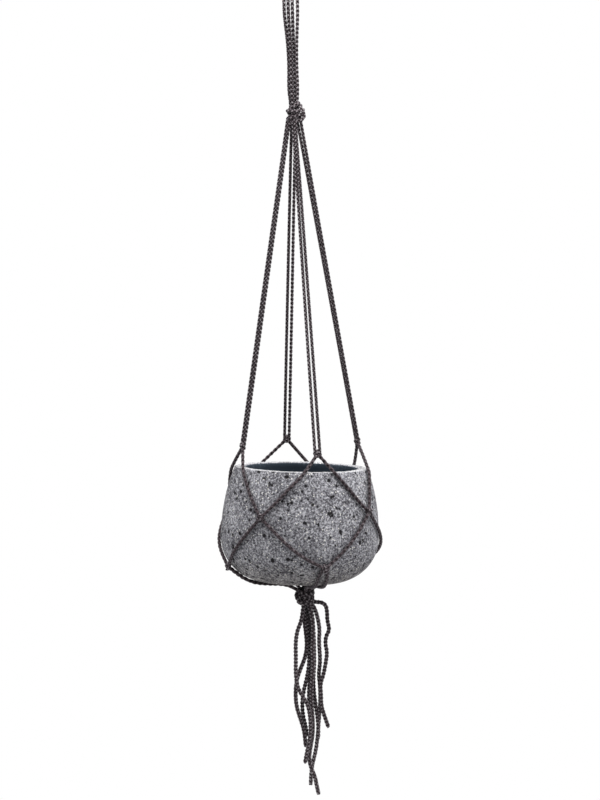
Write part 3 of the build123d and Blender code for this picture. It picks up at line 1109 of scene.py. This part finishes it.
@dataclass
class HookLoop:
    """Four cords doubled over the hook, down to the top knot."""

    bar_radius: float = 0.0071  # from the bar's axis to the cord's middle
    length: float = 0.278  # of one doubled cord, from knot to knot over the bar
    # The slack loop is fuller than the cord pulled thin below it
    braid: Braid = Braid(LEG_CORD * 1.12, 2.3, loose=0.8)
    # Each cord's place along the hook, and where its two strands enter the top knot
    cords: dict[str, tuple[float, tuple[float, float]]] = field(
        default_factory=lambda: {
            "1": (-0.0083, (-0.0038, 0.0024)),
            "2": (-0.0034, (-0.0010, 0.0052)),
            "3": (0.0015, (0.0020, 0.0024)),
            "4": (0.0076, (0.0049, 0.0050)),
        }
    )
    # Share of the way from hook place to knot place, and height
    strand: tuple[tuple[float, float], ...] = (
        (0.0, -0.0120), (0.75, -0.0440), (0.95, -0.0720), (0.70, -0.1000), (1.25, -0.1170),
    )

    def strand_points(self, place: float, knot: tuple[float, float], side: int) -> list[Vector]:
        """One strand's points, from the side of the bar down into the top knot.

        Args:
            place: the cord's place along the bar.
            knot: where the strand enters the knot, across and to the back.
            side: -1 for the front strand, 1 for the back one.

        Returns:
            The strand's control points.
        """
        inside = middle_of("top_knot").z
        points = []
        for share, height in self.strand:
            x = place + (knot[0] - place) * share
            y = self.bar_radius + (knot[1] - self.bar_radius) * share
            points.append(Vector((x, side * y, height)))
        points.append(Vector((knot[0], side * knot[1], inside)))
        return points

    def crown_points(self, place: float) -> list[Vector]:
        """The corners that carry a cord round the bar, from front to back."""
        near = self.bar_radius * math.tan(math.pi / 8)
        far = self.bar_radius
        return [Vector((place, y, z)) for y, z in ((-far, near), (-near, far), (near, far), (far, near))]

    def build(self, shop: CordShop) -> None:
        """Make the four cords, which bend where the loop swings on the hook.

        Args:
            shop: the maker of braided pieces.
        """
        for number, (place, knot) in self.cords.items():
            front = self.strand_points(place, knot, -1)[::-1]
            route = front + self.crown_points(place) + self.strand_points(place, knot, 1)
            piece, line = shop.braided(f"loop_cord_{number}", [route], self.braid)
            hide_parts(f"loop_crown_{number}", f"loop_strands_{number}")
            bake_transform(piece)
            shop.declare(piece, line, self.length, LEG_CORD, Hang.TAUT)


@dataclass
class Legs:
    """Four pairs of taut cords, from the top knot to the small knots above the rim."""

    length: float = 0.397
    braid: Braid = Braid(LEG_CORD * 1.08, 2.3, loose=0.7, relief=0.85)
    # The pair's middle at the top knot, then each strand's distance from the middle there and at
    # the rim knot, all in cord diameters, across and to the back
    pairs: dict[str, tuple[tuple[float, float], tuple[float, float], tuple[float, float]]] = field(
        default_factory=lambda: {
            "left": ((-1.38, 0.15), (0.33, -0.43), (0.38, -0.44)),
            "front": ((0.06, -1.45), (0.35, -0.44), (0.72, -0.06)),
            "right": ((1.38, -0.10), (0.51, -0.19), (0.33, -0.49)),
            "back": ((0.0, 1.33), (0.56, 0.0), (0.70, 0.10)),
        }
    )
    # How far the middle of each strand strays from the straight, across and to the back
    stray: dict[str, tuple[tuple[float, float], tuple[float, float]]] = field(
        default_factory=lambda: {
            "left": ((-0.0003, 0.0004), (0.0004, -0.0003)),
            "front": ((-0.0004, 0.0002), (0.0003, 0.0004)),
            "right": ((0.0003, -0.0003), (-0.0002, 0.0004)),
            "back": ((-0.0005, 0.0), (0.0004, 0.0003)),
        }
    )

    def build(self, shop: CordShop) -> None:
        """Make the eight legs.

        Args:
            shop: the maker of braided pieces.
        """
        top = middle_of("top_knot")
        for side, (middle, spread_top, spread_rim) in self.pairs.items():
            rim = middle_of(f"rim_knot_{side}")
            for number, sign in (("1", -1), ("2", 1)):
                across = middle[0] + sign * spread_top[0]
                back = middle[1] + sign * spread_top[1]
                start = top + Vector((across, back, -1)) * LEG_CORD
                end = rim + Vector((*spread_rim, 0)) * (sign * LEG_CORD)
                bow = Vector((*self.stray[side][int(number) - 1], 0))
                route = [start, start.lerp(end, 0.5) + bow, end]
                name = f"leg_{side}_{number}"
                piece, line = shop.braided(f"braid_{name}", [route], self.braid)
                set_in(piece, Body.HANGER, name)
                shop.declare(piece, line, self.length, LEG_CORD, Hang.TAUT)


# ---------------------------------------------------------------------------------------------
# The net round the pot


Against = tuple[tuple[float, float], ...]  # (azimuth, level) points against the pot

UPPER_NET: dict[tuple[str, str], Against] = {
    ("left", "front_left"): ((-56.5, 0.985), (-50.5, 0.925), (-43.0, 0.820), (-34.5, 0.695)),
    ("left", "back_left"): ((-92.0, 0.985), (-99.5, 0.925), (-106.5, 0.830), (-113.5, 0.710)),
    ("front", "front_left"): ((2.5, 0.985), (-7.3, 0.880), (-16.0, 0.765), (-24.0, 0.665)),
    ("front", "front_right"): ((28.5, 0.985), (35.0, 0.905), (43.5, 0.795), (51.5, 0.700)),
    ("right", "front_right"): ((76.0, 0.985), (71.5, 0.945), (66.0, 0.860), (61.0, 0.755)),
    ("right", "back_right"): ((128.0, 0.985), (136.5, 0.910), (142.5, 0.820), (147.0, 0.725)),
    ("back", "back_right"): ((175.0, 0.985), (167.0, 0.895), (161.0, 0.795), (156.5, 0.705)),
    ("back", "back_left"): ((215.0, 0.985), (224.0, 0.890), (231.5, 0.780), (238.0, 0.680)),
}

LOWER_NET: dict[tuple[str, str], Against] = {
    ("front_left", "left"): ((-34.0, 0.535), (-41.8, 0.435), (-50.0, 0.335), (-59.5, 0.245)),
    ("front_left", "front"): ((-22.5, 0.545), (-13.0, 0.440), (-2.8, 0.335), (8.0, 0.258)),
    ("front_right", "front"): ((51.0, 0.580), (43.0, 0.475), (34.0, 0.365), (26.0, 0.275)),
    ("front_right", "right"): (
        (62.5, 0.595), (71.0, 0.505), (80.5, 0.415), (91.5, 0.325), (104.5, 0.235),
    ),
    ("back_right", "right"): ((147.0, 0.565), (140.5, 0.460), (133.5, 0.355), (126.0, 0.255)),
    ("back_right", "back"): ((158.5, 0.570), (168.0, 0.460), (178.0, 0.350), (187.5, 0.255)),
    ("back_left", "back"): ((236.0, 0.550), (226.5, 0.445), (216.5, 0.345), (206.5, 0.260)),
    ("back_left", "left"): ((248.0, 0.550), (257.0, 0.445), (267.0, 0.340), (278.0, 0.240)),
}

# The two cords from each heel knot: their points against the bowl, and the azimuth at which each
# enters the gather knot
BASE_NET: dict[str, tuple[tuple[Against, float], tuple[Against, float]]] = {
    "left": (
        (((-74.5, 0.095), (-76.0, 0.042), (-79.0, 0.008)), -88.0),
        (((-67.5, 0.095), (-66.5, 0.042), (-65.0, 0.008)), -55.0),
    ),
    "front": (
        (((15.6, 0.130), (16.8, 0.055), (19.0, 0.008)), 8.0),
        (((23.2, 0.130), (26.6, 0.055), (32.5, 0.008)), 40.0),
    ),
    "right": (
        (((114.5, 0.100), (113.5, 0.045), (112.0, 0.008)), 101.0),
        (((121.5, 0.100), (123.0, 0.045), (126.0, 0.008)), 134.0),
    ),
    "back": (
        (((193.5, 0.105), (191.5, 0.045), (188.0, 0.008)), 178.0),
        (((200.5, 0.105), (202.5, 0.045), (206.0, 0.008)), 214.0),
    ),
}

CORNERS = ("front_left", "front_right", "back_right", "back_left")
SIDES = ("left", "front", "right", "back")


@dataclass
class PotNet:
    """The net of knotted cord that carries the pot."""

    pot: Pot
    standoff: float = NET_CORD / 2 + 0.0011
    way_in: float = 0.0138  # where a base cord leaves the base, from the gather knot's middle
    under_base: float = 0.0034  # from the base down to the middle of a cord that passes under it
    knot: SmallKnot = SmallKnot()
    braid: Braid = Braid(NET_CORD * 1.08, 2.7, loose=0.6, relief=0.35)

    def against(self, route: Against) -> list[Vector]:
        """A route's points beside the pot."""
        return [self.pot.beside(azimuth, level, self.standoff) for azimuth, level in route]

    def outward(self, node: str) -> Vector:
        """The way out from the pot's axis at a knot."""
        away = middle_of(node) - self.pot.belly_middle
        return Vector((away.x, away.y, 0))

    def tie_knots(self, shop: CordShop) -> None:
        """Make the twelve small knots.

        Args:
            shop: the maker of braided pieces.
        """
        for level, places in (("rim", SIDES), ("belly", CORNERS), ("heel", SIDES)):
            for place in places:
                node = f"{level}_knot_{place}"
                self.knot.build(shop, f"tied_{node}", node, self.outward(node))

    def net_cord(self, shop: CordShop, node: str, start: str, route: Against, end: str) -> None:
        """Make one net cord between two small knots. It is pulled taut, so its route is its length.

        Args:
            shop: the maker of braided pieces.
            node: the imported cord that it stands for.
            start: the knot that it comes from.
            route: its points against the pot.
            end: the knot that it goes to.
        """
        points = [middle_of(start), *self.against(route), middle_of(end)]
        piece, line = shop.braided(f"braid_{node}", [points], self.braid)
        set_in(piece, Body.HANGER, node)
        length = round(float(distance_along(line)[-1]), 3)
        shop.declare(piece, line, length, NET_CORD, Hang.TAUT)

    def below_base(self, place: Vector) -> Vector:
        """The point straight above or below this one where a cord touches the leaning base."""
        base, axis = self.pot.placed(0.0, 0.0, -self.pot.belly_height), self.pot.axis
        away = place - base
        height = base.z - (axis.x * away.x + axis.y * away.y) / axis.z - self.under_base
        return Vector((place.x, place.y, height))

    def base_cords(self, shop: CordShop) -> None:
        """Make the cords that go round the bowl and under it to the gather knot.

        Args:
            shop: the maker of braided pieces.
        """
        gather = middle_of("gather_knot")
        for side, strands in BASE_NET.items():
            heel = middle_of(f"heel_knot_{side}")
            out = self.outward(f"heel_knot_{side}").normalized()
            across = out.cross(Vector((0, 0, -1))) * (NET_CORD / 2)
            routes = []
            for sign, (route, entry) in zip((-1, 1), strands):
                turn = math.radians(entry)
                way_in = Vector((math.sin(turn), -math.cos(turn), 0)) * self.way_in
                before = self.below_base(gather + way_in)
                routes.append([heel + across * sign, *self.against(route), before, gather])
            piece, _ = shop.braided(f"braid_base_cords_{side}", routes, self.braid)
            set_in(piece, Body.HANGER, f"base_cords_{side}")

    def build(self, shop: CordShop) -> None:
        """Make the whole net.

        Args:
            shop: the maker of braided pieces.
        """
        rows = (("upper", UPPER_NET, "rim", "belly"), ("lower", LOWER_NET, "belly", "heel"))
        for row, cords, above, below in rows:
            for (start, end), route in cords.items():
                node = f"net_{row}_{start}_to_{end}"
                self.net_cord(shop, node, f"{above}_knot_{start}", route, f"{below}_knot_{end}")
        self.base_cords(shop)
        self.tie_knots(shop)


# ---------------------------------------------------------------------------------------------
# The tails

# Points from the gather knot's middle
TAIL_ROUTES: dict[str, tuple[Point, ...]] = {
    "1": (
        (0.0040, 0.0014, -0.0040), (0.0120, 0.0026, -0.0074), (0.0190, 0.0034, -0.0074),
        (0.0254, 0.0040, -0.0108), (0.0270, 0.0040, -0.0195), (0.0268, 0.0040, -0.0300),
        (0.0296, 0.0032, -0.0415), (0.0250, 0.0022, -0.0485), (0.0238, 0.0012, -0.0580),
        (0.0260, -0.0008, -0.0685), (0.0236, -0.0024, -0.0820), (0.0208, -0.0034, -0.0950),
        (0.0166, -0.0040, -0.1060), (0.0174, -0.0042, -0.1190), (0.0172, -0.0041, -0.1320),
        (0.0206, -0.0036, -0.1440), (0.0254, -0.0030, -0.1590),
    ),
    "2": (
        (0.0055, -0.0012, -0.0045), (0.0110, -0.0016, -0.0115), (0.0146, -0.0012, -0.0220),
        (0.0176, -0.0010, -0.0390), (0.0162, 0.0004, -0.0550), (0.0175, 0.0016, -0.0790),
        (0.0149, 0.0022, -0.0950), (0.0164, 0.0024, -0.1100), (0.0162, 0.0029, -0.1310),
        (0.0136, 0.0024, -0.1560), (0.0120, 0.0020, -0.1720), (0.0096, 0.0016, -0.1880),
        (0.0054, 0.0014, -0.2030), (0.0032, 0.0008, -0.2150), (0.0024, 0.0004, -0.2295),
    ),
    "3": (
        (-0.0010, -0.0048, -0.0070), (-0.0026, -0.0062, -0.0180), (-0.0046, -0.0068, -0.0290),
        (-0.0096, -0.0073, -0.0400), (-0.0120, -0.0078, -0.0540), (-0.0120, -0.0084, -0.0740),
        (-0.0128, -0.0088, -0.0940), (-0.0104, -0.0092, -0.1100), (-0.0044, -0.0096, -0.1200),
        (0.0012, -0.0096, -0.1300), (0.0036, -0.0095, -0.1440), (0.0039, -0.0092, -0.1600),
        (0.0019, -0.0087, -0.1750), (-0.0014, -0.0084, -0.1880), (-0.0039, -0.0080, -0.2010),
    ),
    "4": (
        (-0.0006, 0.0002, -0.0090), (0.0000, -0.0009, -0.0190), (-0.0008, -0.0014, -0.0300),
        (0.0010, -0.0015, -0.0460), (0.0017, -0.0016, -0.0600), (-0.0009, -0.0020, -0.0740),
        (-0.0072, -0.0026, -0.0880), (-0.0119, -0.0030, -0.1010), (-0.0136, -0.0031, -0.1170),
        (-0.0128, -0.0031, -0.1320), (-0.0092, -0.0030, -0.1450), (-0.0050, -0.0030, -0.1580),
        (-0.0032, -0.0030, -0.1700), (-0.0026, -0.0028, -0.1820),
    ),
    "5": (
        (0.0010, 0.0057, -0.0080), (0.0022, 0.0050, -0.0200), (0.0024, 0.0042, -0.0340),
        (0.0046, 0.0040, -0.0510), (0.0042, 0.0037, -0.0680), (0.0037, 0.0033, -0.0840),
        (0.0006, 0.0030, -0.1000), (-0.0036, 0.0031, -0.1150), (-0.0058, 0.0031, -0.1300),
        (-0.0052, 0.0030, -0.1450), (-0.0020, 0.0030, -0.1580), (-0.0006, 0.0028, -0.1700),
    ),
    "6": (
        (0.0046, -0.0042, -0.0085), (0.0080, -0.0052, -0.0200), (0.0098, -0.0052, -0.0340),
        (0.0090, -0.0053, -0.0500), (0.0080, -0.0052, -0.0660), (0.0089, -0.0050, -0.0820),
        (0.0070, -0.0046, -0.1000), (0.0054, -0.0044, -0.1170), (0.0057, -0.0044, -0.1330),
        (0.0068, -0.0042, -0.1500), (0.0064, -0.0036, -0.1660), (0.0036, -0.0033, -0.1810),
        (0.0009, -0.0038, -0.1960), (0.0034, -0.0054, -0.2080), (0.0078, -0.0066, -0.2180),
        (0.0094, -0.0070, -0.2280), (0.0118, -0.0074, -0.2395),
    ),
    "7": (
        (0.0052, 0.0029, -0.0086), (0.0089, 0.0023, -0.0200), (0.0096, 0.0014, -0.0350),
        (0.0102, 0.0009, -0.0520), (0.0102, 0.0008, -0.0690), (0.0099, 0.0009, -0.0840),
        (0.0084, 0.0013, -0.0990), (0.0087, 0.0016, -0.1150), (0.0104, 0.0004, -0.1310),
        (0.0123, -0.0022, -0.1450), (0.0134, -0.0044, -0.1580), (0.0127, -0.0050, -0.1720),
    ),
    "8": (
        (0.0035, 0.0098, -0.0045), (0.0053, 0.0109, -0.0170), (0.0052, 0.0103, -0.0330),
        (0.0072, 0.0094, -0.0500), (0.0086, 0.0088, -0.0660), (0.0078, 0.0087, -0.0820),
        (0.0049, 0.0086, -0.0980), (0.0030, 0.0088, -0.1140), (0.0026, 0.0090, -0.1300),
        (0.0042, 0.0086, -0.1440), (0.0048, 0.0083, -0.1550),
    ),
}

TAIL_LENGTHS = {
    "1": 0.171, "2": 0.229, "3": 0.200, "4": 0.177, "5": 0.164, "6": 0.234, "7": 0.165, "8": 0.150,
}


@dataclass
class Tassel:
    """The eight loose ends that hang from the gather knot."""

    braid: Braid = Braid(TAIL_CORD * 1.14, 1.5, loose=0.9, relief=0.8)

    def build(self, shop: CordShop) -> None:
        """Make the eight tails.

        Args:
            shop: the maker of braided pieces.
        """
        gather = middle_of("gather_knot")
        for number, route in TAIL_ROUTES.items():
            points = [gather + Vector(point) for point in route]
            piece, line = shop.braided(f"braid_tail_{number}", [points], self.braid)
            set_in(piece, Body.TASSEL, f"tail_{number}")
            shop.declare(piece, line, TAIL_LENGTHS[number], TAIL_CORD, Hang.HANGING)


def top_knot() -> WoundKnot:
    """The knot below the loop, with a diagonal wrap over its shoulder and a slack bight at its right."""
    return WoundKnot(
        name="wound_top_knot",
        node="top_knot",
        body=Body.TOP_KNOT,
        cord=0.0046,
        winding_radius=0.0068,
        turns=2.8,
        pitch=0.0043,
        lowest=-0.0112,
        tilt_right=0.36,
        tilt_back=0.05,
        wraps=(
            (
                (-0.0060, 0.0050, 0.0000), (-0.0078, -0.0016, 0.0026), (-0.0048, -0.0076, 0.0052),
                (0.0004, -0.0096, 0.0084), (0.0048, -0.0074, 0.0118), (0.0062, -0.0010, 0.0124),
                (0.0044, 0.0056, 0.0100), (-0.0020, 0.0070, 0.0066),
            ),
            (
                (-0.0030, 0.0060, 0.0040), (-0.0084, 0.0010, 0.0030), (-0.0078, -0.0058, 0.0034),
                (-0.0016, -0.0100, 0.0020), (0.0052, -0.0096, 0.0018), (0.0106, -0.0050, 0.0036),
                (0.0116, 0.0010, 0.0044), (0.0066, 0.0066, 0.0040),
            ),
            (
                (0.0010, 0.0066, 0.0080), (0.0064, 0.0036, 0.0104), (0.0088, -0.0024, 0.0088),
                (0.0074, -0.0078, 0.0066), (0.0092, -0.0072, 0.0036), (0.0118, -0.0046, -0.0006),
                (0.0120, -0.0030, -0.0044), (0.0092, -0.0052, -0.0080), (0.0040, -0.0078, -0.0096),
                (-0.0020, -0.0066, -0.0104),
            ),
            (
                (-0.0070, 0.0030, -0.0090), (-0.0080, -0.0036, -0.0076), (-0.0030, -0.0086, -0.0050),
                (0.0034, -0.0092, -0.0026), (0.0086, -0.0054, -0.0012), (0.0100, 0.0010, -0.0010),
                (0.0060, 0.0066, -0.0030),
            ),
        ),
        bundle_radius=0.0062,
        bundle_half=0.0130,
        shift=(0.0008, 0.0, 0.0),
        relief=0.45,
        tones=(0.75, 1.25),
    )


def gather_knot() -> WoundKnot:
    """The round knot under the pot, its wraps sagging at the front, with one slack turn at its left."""
    return WoundKnot(
        name="wound_gather_knot",
        node="gather_knot",
        body=Body.GATHER_KNOT,
        cord=0.0050,
        winding_radius=0.0098,
        turns=4.0,
        pitch=0.0043,
        lowest=-0.0080,
        tilt_right=-0.06,
        tilt_back=0.26,
        wraps=(
            (
                (-0.0040, 0.0070, 0.0060), (-0.0098, 0.0020, 0.0046), (-0.0112, -0.0046, 0.0002),
                (-0.0074, -0.0098, -0.0046), (-0.0006, -0.0108, -0.0084), (0.0062, -0.0084, -0.0082),
                (0.0094, -0.0010, -0.0056), (0.0070, 0.0066, -0.0020), (0.0, 0.0090, 0.0),
            ),
            (
                (-0.0060, 0.0050, 0.0090), (-0.0082, -0.0056, 0.0072), (-0.0014, -0.0108, 0.0032),
                (0.0066, -0.0096, 0.0036), (0.0108, -0.0016, 0.0060), (0.0062, 0.0070, 0.0080),
            ),
        ),
        bundle_radius=0.0080,
        bundle_half=0.0100,
        shift=(0.0008, 0.0, 0.0008),
        relief=0.75,
        tones=(0.4, 1.1),
    )


# ---------------------------------------------------------------------------------------------
# The studio


@dataclass
class Studio:
    """A camera at eye level, soft light from above and the sides, and a plain pale floor."""

    distance: float = 2.8
    aim: Vector = field(default_factory=lambda: Vector((0, 0, -0.470)))
    elevation: float = math.radians(3.2)
    roll: float = math.radians(-1.3)
    lens: float = 105.0
    floor_height: float = -1.35
    floor_radius: float = 1.2
    sky: float = 0.28
    # Name, place, side and watts of each lamp, and what they all point at
    lamps: tuple[tuple[str, Point, float, float], ...] = (
        ("key", (0.0, -1.6, 1.2), 1.5, 9.0),
        ("upper", (0.0, -0.8, 0.5), 0.5, 6.0),
        ("left", (-1.7, -0.5, 0.6), 1.2, 22.0),
        ("right", (1.7, -0.5, 0.6), 1.2, 40.0),
        ("top", (0.0, 0.1, 1.6), 1.4, 62.0),
        ("behind", (0.0, 1.7, 0.8), 1.2, 22.0),
    )
    lit: Point = (0.0, 0.0, -0.55)

    def camera(self) -> None:
        """Place the camera."""
        data = bpy.data.cameras.new("camera")
        data.lens = self.lens
        data.sensor_width = 36.0
        data.clip_start = 0.05
        data.clip_end = 50.0
        camera = bpy.data.objects.new("camera", data)
        bpy.context.scene.collection.objects.link(camera)
        back = Vector((0, -math.cos(self.elevation), math.sin(self.elevation)))
        turn = (-back).to_track_quat("-Z", "Y").to_matrix().to_4x4()
        place = Matrix.Translation(self.aim + back * self.distance)
        camera.matrix_world = place @ turn @ Matrix.Rotation(self.roll, 4, "Z")
        bpy.context.scene.camera = camera

    def lamp(self, name: str, place: Point, size: float, power: float) -> None:
        """Add one soft square lamp that points at the pot.

        Args:
            name: the lamp's name.
            place: where it stands.
            size: its side.
            power: its power in watts.
        """
        data = bpy.data.lights.new(name, "AREA")
        data.shape = "SQUARE"
        data.size = size
        data.energy = power
        lamp = bpy.data.objects.new(name, data)
        bpy.context.scene.collection.objects.link(lamp)
        towards = Vector(self.lit) - Vector(place)
        turn = towards.to_track_quat("-Z", "Y").to_matrix().to_4x4()
        lamp.matrix_world = Matrix.Translation(place) @ turn

    def world(self) -> None:
        """Light the room evenly, in front of a plain white backdrop."""
        world = bpy.data.worlds.new("studio")
        bpy.context.scene.world = world
        world.use_nodes = True
        nodes, links = world.node_tree.nodes, world.node_tree.links
        nodes.clear()
        seen = nodes.new("ShaderNodeBackground")
        seen.inputs["Color"].default_value = (1, 1, 1, 1)
        lit = nodes.new("ShaderNodeBackground")
        lit.inputs["Color"].default_value = (0.96, 0.98, 1.0, 1)
        lit.inputs["Strength"].default_value = self.sky
        path = nodes.new("ShaderNodeLightPath")
        mix = nodes.new("ShaderNodeMixShader")
        end = nodes.new("ShaderNodeOutputWorld")
        links.new(path.outputs["Is Camera Ray"], mix.inputs[0])
        links.new(lit.outputs[0], mix.inputs[1])
        links.new(seen.outputs[0], mix.inputs[2])
        links.new(mix.outputs[0], end.inputs["Surface"])

    def floor(self) -> None:
        """Lay a plain pale floor below the hanging pot."""
        bpy.ops.object.select_all(action="DESELECT")
        bpy.ops.mesh.primitive_circle_add(
            vertices=96, radius=self.floor_radius, fill_type="NGON", location=(0, 0, self.floor_height)
        )
        floor = bpy.context.object
        floor.name = "floor"
        board = Board("pale_floor")
        floor.data.materials.append(board.surface(Base_Color=(0.62, 0.62, 0.62, 1.0), Roughness=0.9))

    def build(self) -> None:
        """Set up the camera, lights and floor."""
        self.camera()
        self.world()
        for lamp in self.lamps:
            self.lamp(*lamp)
        self.floor()
        bpy.context.scene.view_settings.view_transform = "Standard"


def main() -> None:
    """Build the hanging pot and its studio."""
    logging.basicConfig(level=logging.INFO, format="%(message)s")
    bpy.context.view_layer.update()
    Studio().build()
    shop = CordShop()
    Tassel().build(shop)
    HookLoop().build(shop)
    Legs().build(shop)
    pot = Pot()
    PotNet(pot).build(shop)
    top_knot().build(shop)
    gather_knot().build(shop)
    pot.build()


if __name__ == "__main__":
    main()
